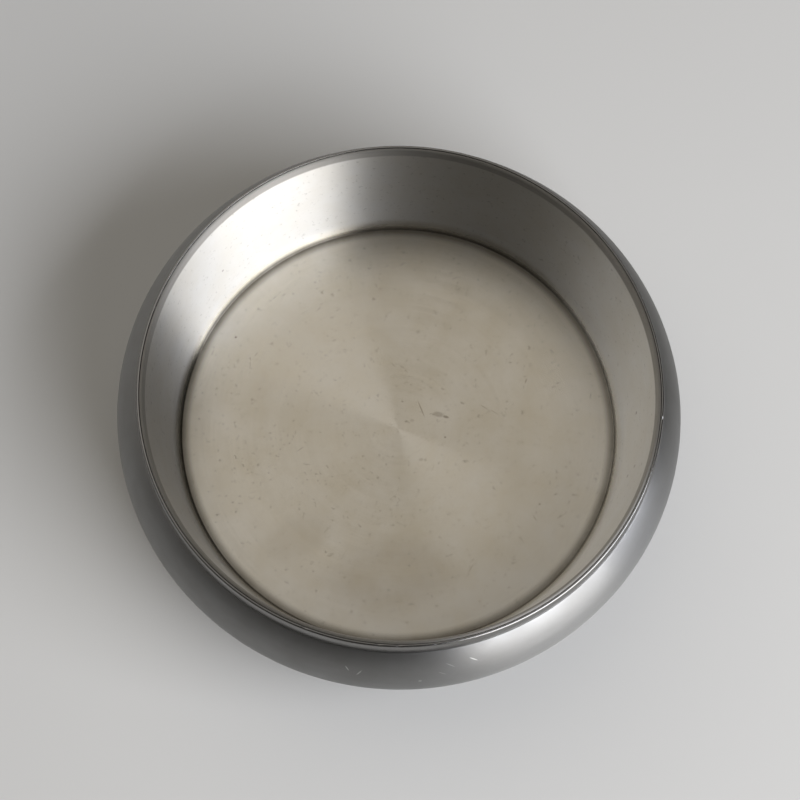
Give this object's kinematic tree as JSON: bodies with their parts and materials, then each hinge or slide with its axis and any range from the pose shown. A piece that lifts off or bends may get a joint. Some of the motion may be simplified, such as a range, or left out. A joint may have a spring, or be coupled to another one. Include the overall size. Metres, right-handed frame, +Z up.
{
  "type": "shaving bowl",
  "caption": "Shallow double-walled satin steel shaving bowl: flared liner with a flat floor, upright rim collar, rounded outer belly and a pressed foot.",
  "frame": {"origin": "centre of the foot, on the surface the bowl stands on", "axes": "+Z up along the bowl's axis; X and Y are any two directions across it, because the bowl is round"},
  "size_m": [0.1304, 0.1304, 0.039],
  "materials": {
    "turned_steel": "spun stainless steel with fine turning marks, used",
    "polished_steel": "polished stainless steel edge, nicked",
    "satin_steel": "satin spun stainless steel, scratched",
    "plain_steel": "pressed stainless steel, dull",
    "plug_rubber": "moulded rubber, matt"
  },
  "bodies": {
    "root": {"inner_bowl": "turned_steel", "rim_collar": "polished_steel", "outer_shell": "satin_steel", "base_plate": "plain_steel", "vent_plug": "plug_rubber"}
  },
  "joints": []
}
